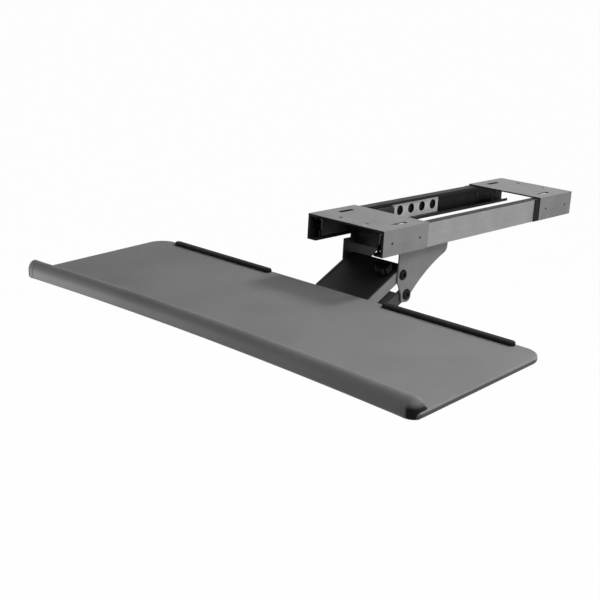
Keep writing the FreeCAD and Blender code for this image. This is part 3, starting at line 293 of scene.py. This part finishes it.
CAD_FINISH = {
    "outer_rail_left": RAIL, "outer_rail_right": RAIL,
    "front_cross_plate": PLATE, "rear_cross_plate": PLATE,
    "slide_member_left": SLIDE, "slide_member_right": SLIDE,
    "ball_retainer_left": RETAINER, "ball_retainer_right": RETAINER,
    "bearing_balls_left": BALLS, "bearing_balls_right": BALLS,
    # The left side plate takes the painted-shade steel, the right one the plain plate steel
    "side_plate_left": SHADED, "side_plate_right": PLATE,
    "carriage_cross_web": SHADED, "carriage_tie_bar": ZINC,
    "pivot_washers": ZINC, "rail_bumpers": BUMPER,
    "arm_channel": PLATE, "height_clamp": SHADED,
    "lower_link_left": LINKS, "lower_link_right": LINKS, "lower_link_web": LINKS,
    "head_plate_left": PLATE, "head_plate_right": PLATE, "head_cross_web": PLATE,
    "tilt_bracket": PLATE,
}
CEILING_LOW = -0.003  # metres: below this a face that looks down isn't under a cross plate's top
RAIL_SKIN = 0.0597  # metres from the middle: what lies nearer is the inside of an outer rail


def repaint(names, material, picked):
    """Give the picked faces of CAD nodes a second material."""
    for name in names:
        mesh = nodes[name].data
        mesh.materials.append(material)
        for face in mesh.polygons:
            if picked(name, face):
                face.material_index = 1


def gets_painted_shade(name, face):
    """True for faces that get painted shade: those that look inward, lie inside a rail, or close a
    rail or plate in front.
    """
    x, normal = face.center.x, face.normal
    inward = normal.x * x < -0.5 * abs(x)
    ceiling = normal.z < -0.9 and face.center.z > CEILING_LOW
    in_rail = "rail" in name and abs(x) < RAIL_SKIN
    front_end = normal.y < -0.9 and name != "side_plate_right"
    return inward or ceiling or in_rail or front_end


for name, material in CAD_FINISH.items():
    mesh = nodes[name].data
    mesh.materials.clear()
    mesh.materials.append(material)
# Painted shade: faces inside the rails, under the cross plates' tops and on the front ends take the
# near-black steel
repaint(("outer_rail_left", "outer_rail_right", "front_cross_plate", "rear_cross_plate",
         "side_plate_right"), PAINTED_SHADE_STEEL, gets_painted_shade)
# The retainers' faces that don't look sideways take the painted-shade slide zinc
repaint(("ball_retainer_left", "ball_retainer_right"), SLIDE,
        lambda name, face: abs(face.normal.x) < 0.5)


# ---------------------------------------------------------------- mesh helpers

def new_piece(name, points, faces, materials, body, instead=(), pick=None):
    """A mesh piece in the part's frame, from points in millimetres, that rides on a body."""
    mesh = bpy.data.meshes.new(name)
    mesh.from_pydata([(x / 1000, y / 1000, z / 1000) for x, y, z in points], [], faces)
    for material in materials:
        mesh.materials.append(material)
    piece = bpy.data.objects.new(name, mesh)
    bpy.context.scene.collection.objects.link(piece)
    shell = bmesh.new()
    shell.from_mesh(mesh)
    bmesh.ops.recalc_face_normals(shell, faces=shell.faces)
    shell.to_mesh(mesh)
    shell.free()
    mesh.validate()
    mesh.update()
    for face in mesh.polygons:
        face.use_smooth = True
        if pick is not None:
            face.material_index = pick(face)
    mesh.set_sharp_from_angle(angle=SHARP_ANGLE)
    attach(piece, body)
    if instead:
        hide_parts(*instead)


def loft(rings):
    """Points and faces of a closed form through rings of equal length, with a face on each end."""
    count = len(rings[0])
    points = [p for ring in rings for p in ring]
    faces = []
    for r in range(len(rings) - 1):
        a, b = r * count, (r + 1) * count
        faces += [(a + i, a + (i + 1) % count, b + (i + 1) % count, b + i) for i in range(count)]
    last = (len(rings) - 1) * count
    faces += [tuple(reversed(range(count))), tuple(range(last, last + count))]
    return points, faces


def join(parts):
    """Several (points, faces) pairs as one."""
    points, faces = [], []
    for some_points, some_faces in parts:
        faces += [tuple(i + len(points) for i in f) for f in some_faces]
        points += some_points
    return points, faces


HEX, LOBED = 1, 2


def turned(start, axis, profile, count, shape=None):
    """A turned form from a profile of (distance along the axis, radius) with count points round.

    A third entry makes that ring HEX, six-sided, or LOBED, with a radius that shape varies.
    """
    axis = Vector(axis).normalized()
    u = axis.orthogonal().normalized()
    v = axis.cross(u)
    start = Vector(start)
    rings = []
    for along, radius, *form in profile:
        ring = []
        for i in range(count):
            angle = 2 * math.pi * i / count
            r = radius
            if HEX in form:
                r = radius / math.cos((angle + math.pi / 6) % (math.pi / 3) - math.pi / 6)
            elif LOBED in form:
                r = radius * shape(angle)
            spoke = u * math.cos(angle) + v * math.sin(angle)
            ring.append(tuple(start + axis * along + spoke * r))
        rings.append(ring)
    return loft(rings)


def socket_head(start, axis, radius, height, bore):
    """A button head with a six-sided socket, standing on start and facing along axis."""
    return turned(start, axis, [
        (0, radius * 0.94), (height * 0.08, radius), (height * 0.42, radius),
        (height * 0.66, radius * 0.95), (height * 0.85, radius * 0.84), (height, radius * 0.66),
        (height, bore * 1.12), (height * 0.93, bore, HEX), (height * 0.25, bore, HEX),
        (height * 0.12, bore * 0.3)], 48)


def hex_nut(start, axis, radius, height, shank):
    """A six-sided nut with chamfered corners and a locking collar."""
    flat = radius * math.cos(math.pi / 6)
    return turned(start, axis, [
        (0, flat * 0.93), (height * 0.12, flat, HEX), (height * 0.72, flat, HEX),
        (height * 0.84, flat * 0.95), (height * 0.86, shank * 1.3), (height, shank * 1.2),
        (height, shank * 0.86), (height * 0.9, shank * 0.8)], 48)


def pan_head(start, axis, radius, height, socket):
    """A low domed head with a six-sided socket."""
    return turned(start, axis, [
        (0, radius), (height * 0.3, radius), (height * 0.65, radius * 0.93),
        (height * 0.9, radius * 0.74), (height, radius * 0.5), (height, socket, HEX),
        (height * 0.35, socket * 0.8, HEX), (height * 0.3, socket * 0.2)], 32)


def plain_shank(start, axis, radius, length):
    """A round bar with a small chamfer on each end."""
    return turned(start, axis, [
        (0, radius * 0.9), (radius * 0.12, radius), (length - radius * 0.12, radius),
        (length, radius * 0.9)], 32)


def swung(pivot, angle, x, y, z):
    """A place given from a pivot, in directions that lean by an angle, in the part's frame."""
    c, s = math.cos(angle), math.sin(angle)
    return (x, pivot[0] + y * c - z * s, pivot[1] + y * s + z * c)


def at_head(x, y, z):
    """A place given from the tray's shaft, in the tray's own directions."""
    return swung(HEAD_PIVOT, TRAY_TURN, x, y, z)


def at_tray(x, y, z):
    """A place given from the middle of the tray board's top."""
    return at_head(x, y - TRAY_AHEAD, z + TRAY_ABOVE)


def at_arm(x, y, z):
    """A place given from the arm's rear pivot, in the arm's own directions (-Y is its front)."""
    return swung(ARM_PIVOT, ARM_TURN, x, y, z)


def arc(x, y, radius, start, end, steps):
    """Places round an arc, as (x, y, outward x, outward y)."""
    angles = [start + (end - start) * i / steps for i in range(steps + 1)]
    return [(x + radius * math.cos(a), y + radius * math.sin(a), math.cos(a), math.sin(a))
            for a in angles]


def inset(spots, section, place):
    """Rings round an outline: each (inset, z) of the section draws it in and sets its height."""
    return [[place(x - nx * i, y - ny * i, z) for x, y, nx, ny in spots] for i, z in section]


def rounded(radius, z, upwards, steps=5):
    """Insets and heights round a quarter bend, from the side wall to the face at height z."""
    way = 1 if upwards else -1
    angles = [math.pi / 2 * i / steps for i in range(steps + 1)]
    return [(radius * (1 - math.cos(a)), z + way * radius * (math.sin(a) - 1)) for a in angles]


# ---------------------------------------------------------------- tray board

BACK_CORNER = 25.0
FRONT_CORNER = 13.0
CORNER_STEPS = 16
BOW_STEPS = 96
SET_BACK = 1.4  # the board's front edge lies this far behind the ridge's skin


def tray_outline():
    """The board's plan as (x, y, outward x, outward y), anticlockwise from the back right."""
    quarter = math.pi / 2
    back_x, back_y = TRAY_HALF - BACK_CORNER, TRAY_BACK - BACK_CORNER
    radius = BOW_RADIUS + SET_BACK
    reach = radius + FRONT_CORNER
    front_x = TRAY_HALF - FRONT_CORNER
    front_y = BOW_CENTRE + math.sqrt(reach ** 2 - front_x ** 2)
    towards = math.atan2(BOW_CENTRE - front_y, front_x)
    tilt = math.asin(front_x / reach)
    spots = arc(back_x, back_y, BACK_CORNER, 0, quarter, CORNER_STEPS)
    spots += arc(-back_x, back_y, BACK_CORNER, quarter, math.pi, CORNER_STEPS)
    spots += arc(-front_x, front_y, FRONT_CORNER, math.pi, 2 * math.pi + towards, CORNER_STEPS)
    for i in range(1, BOW_STEPS):
        a = -tilt + 2 * tilt * i / BOW_STEPS
        spots.append((radius * math.sin(a), BOW_CENTRE + radius * math.cos(a),
                      -math.sin(a), -math.cos(a)))
    return spots + arc(front_x, front_y, FRONT_CORNER, -math.pi - towards, 0, CORNER_STEPS)


section = [(12, 0.8 - BOARD_THICKNESS), (11, -BOARD_THICKNESS)]
section += reversed(rounded(2.4, -BOARD_THICKNESS, False))
section += [(0, -3.0)] + rounded(2.2, 0.0, True, 7) + [(4.0, 0.0)]
points, faces = loft(inset(tray_outline(), section, at_tray))
new_piece("tray_board_panel", points, faces, [TRAY_TOP, TRAY_EDGE], "tray",
          instead=("tray_board",), pick=lambda f: 0 if f.normal.z > 0.3 else 1)


# ---------------------------------------------------------------- palm ridge

RIDGE_END = 316.0
RIDGE_DEPTH = 29.0
RIDGE_HEIGHT = 15.0
CREST = 11.2  # from the ridge's front to its highest line
FOOT = 2.6  # where the front starts to round over
TOE = 0.12  # the thickness left where the ridge runs out on the board
CAP_GROW = 0.25
CAP_LENGTH = 16
CAP_STEPS = 18
SKIN_HALF = RIDGE_END - 15.6
SKIN_STEPS = 120


def ridge_profile():
    """The ridge's section from under the nose over the top to the toe: distance back, height."""
    profile = [(4.5, -6.95), (2.4, -6.8), (1.1, -6.2), (0.35, -5.1), (0.0, -3.6), (0.0, -1.5),
               (0.0, 0.6)]
    for i in range(13):
        a = math.pi / 2 * i / 12
        profile.append((CREST - CREST * math.cos(a), FOOT + (RIDGE_HEIGHT - FOOT) * math.sin(a)))
    for i in range(1, 21):
        t = i / 20
        fall = 1 - t * t * (3 - 2 * t)
        profile.append((CREST + (RIDGE_DEPTH - CREST) * t, TOE + (RIDGE_HEIGHT - TOE) * fall))
    return profile


def rounding(amount, from_end, reach):
    """How much of an amount a round end has taken off, at a distance from the end."""
    if from_end >= reach:
        return 0
    return amount * (1 - math.sqrt(1 - (1 - from_end / reach) ** 2))


def ridge_ring(x, grow=0.0):
    """One section of the ridge, drawn in towards its end."""
    from_end = max(0.0, RIDGE_END + grow - abs(x))
    plan = rounding(12.5, from_end, 12.5)
    drop = rounding(7.0, from_end, 8)
    tail = rounding(9.0, from_end, 11)
    depth = RIDGE_DEPTH - plan - tail + 2 * grow
    ring = []
    for back, z in ridge_profile():
        if z > 0:
            z = z * (RIDGE_HEIGHT - drop + grow) / RIDGE_HEIGHT
        reach = BOW_RADIUS + 0.45 + plan - grow + back / RIDGE_DEPTH * depth
        lean = math.asin(x / reach)
        ring.append(at_tray(x, BOW_CENTRE + reach * math.cos(lean), z))
    return ring


def cap_places(sign):
    """Places close together where the ridge rounds off."""
    places = [RIDGE_END - CAP_LENGTH + CAP_LENGTH * math.sin(math.pi / 2 * i / CAP_STEPS)
              for i in range(CAP_STEPS + 1)]
    return [sign * min(x, RIDGE_END - 0.02) for x in places]


points, faces = loft([ridge_ring(-SKIN_HALF + 2 * SKIN_HALF * i / SKIN_STEPS)
                      for i in range(SKIN_STEPS + 1)])
new_piece("palm_ridge_skin", points, faces, [RIDGE], "tray", instead=("palm_ridge",))
for side, sign in (("left", -1), ("right", 1)):
    rings = [ridge_ring(x, CAP_GROW) for x in cap_places(sign)]
    points, faces = loft(rings if sign > 0 else rings[::-1])
    new_piece(f"ridge_end_{side}", points, faces, [CAPS], "tray")


# ---------------------------------------------------------------- back strips

STRIP_LENGTH = 187


def bar_outline(x_low, x_high, y_low, y_high, radius, steps, along):
    """A rounded rectangle as (x, y, outward x, outward y), with extra places on its sides."""
    spots = []
    corners = [(x_high - radius, y_high - radius, 0), (x_low + radius, y_high - radius, 90),
               (x_low + radius, y_low + radius, 180), (x_high - radius, y_low + radius, 270)]
    for k, (cx, cy, start) in enumerate(corners):
        spots += arc(cx, cy, radius, math.radians(start), math.radians(start + 90), steps)
        x, y, nx, ny = spots[-1]
        next_x, next_y, _ = corners[(k + 1) % 4]
        places = along if k % 2 == 0 else 4
        for i in range(1, places):
            t = i / places
            spots.append((x + (next_x - cx) * t, y + (next_y - cy) * t, nx, ny))
    return spots


for side, low in (("left", -281.5), ("right", 94.5)):
    section = [(0.4, 0.0), (0, 0.4), (0, 1.6), (0.35, 1.9), (0, 2.2)]
    section += rounded(2.6, 5.0, True, 7) + [(3.6, 4.95), (4.4, 4.8)]
    spots = bar_outline(low, low + STRIP_LENGTH, 107, 117, 4.9, 8, 60)
    points, faces = loft(inset(spots, section, at_tray))
    new_piece(f"back_strip_{side}_foam", points, faces, [STRIP], "tray",
              instead=(f"back_strip_{side}",))


# ---------------------------------------------------------------- arm cover

# A pressed cover with rounded corners and rolled edges on the arm's channel
section = [(1.2, 7.05), (0.3, 7.1), (0, 7.6), (0.15, 8.2), (0.6, 8.7), (1.4, 9.0), (4, 9.0),
           (5.0, 8.9), (5.8, 8.6), (6.6, 8.6)]
spots = bar_outline(-44.4, 44.4, -73, 9.8, 7, 10, 24)
points, faces = loft(inset(spots, section, at_arm))
new_piece("arm_cover_shell", points, faces, [COVER], "arm",
          instead=("arm_cover",))


# ---------------------------------------------------------------- knobs

def lobes(count, depth):
    return lambda angle: 1 - depth * ((1 + math.cos(count * angle)) / 2) ** 3


def height_knob():
    """A lobed grip with its stud, standing square to the arm's channel."""
    centre = Vector(at_arm(31.5, -14.5, 0))
    axis = Vector((0, -math.sin(ARM_TURN), math.cos(ARM_TURN)))
    grip = turned(centre + axis * 9.3, axis, [
        (0, 7.6), (0.4, 8.2), (2.4, 8.4), (3.2, 10.4, LOBED), (4.2, 11.3, LOBED),
        (5.2, 11.5, LOBED), (9.0, 11.5, LOBED), (10.6, 11.2, LOBED), (11.9, 10.4, LOBED),
        (12.6, 9.2), (12.95, 7.6), (13.0, 5.6), (12.6, 5.2), (12.6, 1.0)], 96, lobes(8, 0.2))
    return join([grip, plain_shank(centre - axis * 7, axis, 3, 16.6)])


def tilt_knob():
    """A lobed grip on the right end of the tilt bolt."""
    return turned((41.2, *TILT_BOLT), (1, 0, 0), [
        (0, 7.4), (0.5, 8.0), (5.4, 8.0), (6.1, 9.0), (6.8, 12.4, LOBED), (8.0, 13.7, LOBED),
        (9.4, 14.0, LOBED), (14.2, 14.0, LOBED), (16.0, 13.4, LOBED), (17.2, 12.2, LOBED),
        (17.8, 10.4), (18.0, 8.4), (17.4, 7.6), (17.4, 1.0)], 96, lobes(8, 0.17))


points, faces = height_knob()
new_piece("height_knob_grip", points, faces, [KNOB], "height_knob",
          instead=("height_knob",))
points, faces = tilt_knob()
new_piece("tilt_knob_grip", points, faces, [KNOB], "tilt_knob",
          instead=("tilt_knob",))


# ---------------------------------------------------------------- bolts, screws and rivets

def across(y, z, outer, head_radius, head_height, shank_radius, bore):
    """A shaft across the part with a socket head on each end."""
    parts = [plain_shank((-outer - 0.2, y, z), (1, 0, 0), shank_radius, 2 * outer + 0.4)]
    for sign in (-1, 1):
        parts.append(socket_head((sign * outer, y, z), (sign, 0, 0), head_radius, head_height,
                                 bore))
    return join(parts)


def shoulder_pair(y, z, outer, tip, nut_face):
    """A bolt on each side, from its head at outer inward to its tip, with a nut."""
    parts = []
    for sign in (-1, 1):
        parts.append(plain_shank((sign * (outer + 0.1), y, z), (-sign, 0, 0), 4, outer - tip + 0.1))
        parts.append(socket_head((sign * outer, y, z), (sign, 0, 0), 7.5, 2.8, 2.6))
        parts.append(hex_nut((sign * nut_face, y, z), (-sign, 0, 0), 7.5, 3.2, 4))
    return join(parts)


points, faces = across(*ARM_PIVOT, 47.8, 7, 3, 5, 2.9)
new_piece("arm_pivot_bolt", points, faces, [BOLTS], "carriage",
          instead=("arm_pivot_shaft",))
points, faces = across(*HEAD_PIVOT, 44.7, 6.5, 2.5, 4, 2.4)
new_piece("tray_pivot_bolt", points, faces, [BOLTS], "head",
          instead=("tray_shaft",))
points, faces = shoulder_pair(*LINK_PIVOT, 47.8, 37.7, 40.9)
new_piece("link_shoulder_bolts", points, faces, [BOLTS], "carriage",
          instead=("link_pivot_bolts",))
points, faces = shoulder_pair(*HEAD_LINK, 44.5, 35.7, 38.9)
new_piece("head_shoulder_bolts", points, faces, [BOLTS], "head",
          instead=("head_link_bolts",))
points, faces = join([plain_shank((-41, *TILT_BOLT), (1, 0, 0), 3, 93.9),
                      socket_head((-40.9, *TILT_BOLT), (-1, 0, 0), 5.5, 3, 2.2)])
new_piece("tilt_lock_bolt", points, faces, [BOLTS], "head",
          instead=("tilt_clamp_bolt",))

SLIDE_MIDDLE = -18  # the height of the rails' middle, where the side screws and rivets sit
parts = []
for sign in (-1, 1):
    for y in (-79.5, -107.5, -135.5):
        parts.append(pan_head((sign * 45.8, y, SLIDE_MIDDLE), (-sign, 0, 0), 4, 1.8, 1.3))
        parts.append(plain_shank((sign * 45.7, y, SLIDE_MIDDLE), (sign, 0, 0), 2, 3.3))
points, faces = join(parts)
new_piece("carriage_pan_screws", points, faces, [BOLTS], "carriage",
          instead=("carriage_screws",))

parts = []
down = Vector((0, math.sin(TRAY_TURN), -math.cos(TRAY_TURN)))
for x in (-50, 50):
    for y in (-8, -53, -98):
        parts.append(pan_head(at_head(x, y, 30.5), down, 4, 2, 1.4))
        parts.append(plain_shank(at_head(x, y, 30.4), -down, 2, 7))
points, faces = join(parts)
new_piece("tray_pan_screws", points, faces, [BOLTS], "tray",
          instead=("tray_screws",))

parts = []
for sign in (-1, 1):
    for y in (-210.5, -153.5, 156.5, 210.5):
        place = (sign * 59.5, y, SLIDE_MIDDLE)
        parts.append(turned(place, (sign, 0, 0), [
            (0, 1.9), (3.1, 2), (3.3, 1.9), (3.4, 1.4), (2.9, 1.0), (2.8, 0.3)], 28))
        parts.append(turned(place, (-sign, 0, 0), [
            (0, 3.5), (0.35, 3.5), (0.75, 3.1), (1.0, 2.2), (1.0, 0.4)], 28))
points, faces = join(parts)
new_piece("frame_rivet_heads", points, faces, [RIVETS], "frame",
          instead=("frame_rivets",))


# ---------------------------------------------------------------- floor, lights, camera

FLOOR_Z = -0.72
FLOOR_HALF = 60.0
FLOOR_GREY = (0.8, 0.8, 0.8, 1)
FLOOR_SHOWN = 0.985  # how far the camera sees the floor as white, not as a lit surface
WORLD_DIM = 0.08
WHITE = (1, 1, 1, 1)


def seen_white(tree):
    """1 for rays from the camera, from gloss and through glass, and 0 for the rest."""
    path = tree.nodes.new("ShaderNodeLightPath")
    seen = path.outputs["Is Camera Ray"]
    for kind in ("Is Glossy Ray", "Is Transmission Ray"):
        either = tree.nodes.new("ShaderNodeMath")
        either.operation = "MAXIMUM"
        tree.links.new(seen, either.inputs[0])
        tree.links.new(path.outputs[kind], either.inputs[1])
        seen = either.outputs[0]
    return seen


def mix_shaders(tree, factor, first, second, output):
    """Link two shaders, mixed by a factor, to the surface of a new output."""
    mix = tree.nodes.new("ShaderNodeMixShader")
    tree.links.new(factor, mix.inputs[0])
    tree.links.new(first.outputs[0], mix.inputs[1])
    tree.links.new(second.outputs[0], mix.inputs[2])
    tree.links.new(mix.outputs[0], tree.nodes.new(output).inputs["Surface"])


def glowing(tree, kind, strength):
    """A white emission or background shader."""
    node = tree.nodes.new(kind)
    node.inputs["Color"].default_value = WHITE
    node.inputs["Strength"].default_value = strength
    return node


def floor_material():
    """A pale surface that the camera, gloss and glass see nearly white, with the shadow kept."""
    material = bpy.data.materials.new("pale_floor")
    material.use_nodes = True
    tree = material.node_tree
    tree.nodes.clear()
    plain = tree.nodes.new("ShaderNodeBsdfDiffuse")
    plain.inputs["Color"].default_value = FLOOR_GREY
    share = tree.nodes.new("ShaderNodeMath")
    share.operation = "MULTIPLY"
    share.inputs[1].default_value = FLOOR_SHOWN
    tree.links.new(seen_white(tree), share.inputs[0])
    mix_shaders(tree, share.outputs[0], plain, glowing(tree, "ShaderNodeEmission", 1.0),
                "ShaderNodeOutputMaterial")
    return material


mesh = bpy.data.meshes.new("floor")
mesh.from_pydata([(x * FLOOR_HALF, y * FLOOR_HALF, FLOOR_Z)
                  for x, y in ((-1, -1), (1, -1), (1, 1), (-1, 1))], [], [(0, 1, 2, 3)])
mesh.materials.append(floor_material())
floor = bpy.data.objects.new("floor", mesh)
bpy.context.scene.collection.objects.link(floor)
floor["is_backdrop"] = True

world = bpy.data.worlds.new("studio")
bpy.context.scene.world = world
world.use_nodes = True
tree = world.node_tree
tree.nodes.clear()
mix_shaders(tree, seen_white(tree), glowing(tree, "ShaderNodeBackground", WORLD_DIM),
            glowing(tree, "ShaderNodeBackground", 1.0), "ShaderNodeOutputWorld")


def softbox(name, place, target, width, height, power):
    """A rectangular lamp, with its place and size in metres, that points at the target."""
    light = bpy.data.lights.new(name, "AREA")
    light.shape = "RECTANGLE"
    light.size = width
    light.size_y = height
    light.energy = power
    lamp = bpy.data.objects.new(name, light)
    bpy.context.scene.collection.objects.link(lamp)
    lamp.location = place
    lamp.rotation_mode = "QUATERNION"
    lamp.rotation_quaternion = (Vector(target) - Vector(place)).to_track_quat("-Z", "Y")


softbox("behind", (0.27, 1.1, 1.3), (0, -0.3, -0.08), 0.35, 0.35, 18.5)
softbox("key", (0.62, 0.1, 0.68), (0.15, -0.3, -0.05), 0.35, 0.35, 1.2)
softbox("front_right", (0.62, -0.42, 0.62), (0.1, -0.3, -0.05), 0.4, 0.4, 3.1)
softbox("right_side", (2.6, 0.1, 0.22), (0, -0.1, -0.05), 1.2, 0.5, 17)
softbox("front_left", (-0.62, -0.85, -0.25), (-0.3, -0.5, -0.08), 0.35, 0.3, 2.8)

SENSOR = 36  # millimetres
PICTURE = 600  # pixels
FOCAL_LENGTH = 1121.7  # pixels
CAMERA_PLACE = (0.8865, -1.2981, 0.3106)
AZIMUTH, ELEVATION, ROLL = (math.radians(a) for a in (41.8, 16.7, 3.1))

camera_data = bpy.data.cameras.new("camera")
camera_data.sensor_width = SENSOR
camera_data.lens = FOCAL_LENGTH * SENSOR / PICTURE
camera_data.clip_start = 0.05
camera_data.clip_end = 200
camera = bpy.data.objects.new("camera", camera_data)
bpy.context.scene.collection.objects.link(camera)
bpy.context.scene.camera = camera
level = Vector((math.cos(AZIMUTH), math.sin(AZIMUTH), 0))
forward = Vector((-math.sin(AZIMUTH) * math.cos(ELEVATION),
                  math.cos(AZIMUTH) * math.cos(ELEVATION), -math.sin(ELEVATION)))
upright = level.cross(forward)
right = level * math.cos(ROLL) + upright * math.sin(ROLL)
up = upright * math.cos(ROLL) - level * math.sin(ROLL)
turn = Matrix((right, up, -forward)).transposed().to_4x4()
camera.matrix_world = Matrix.Translation(CAMERA_PLACE) @ turn

bpy.context.scene.view_settings.view_transform = "Standard"

low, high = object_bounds()
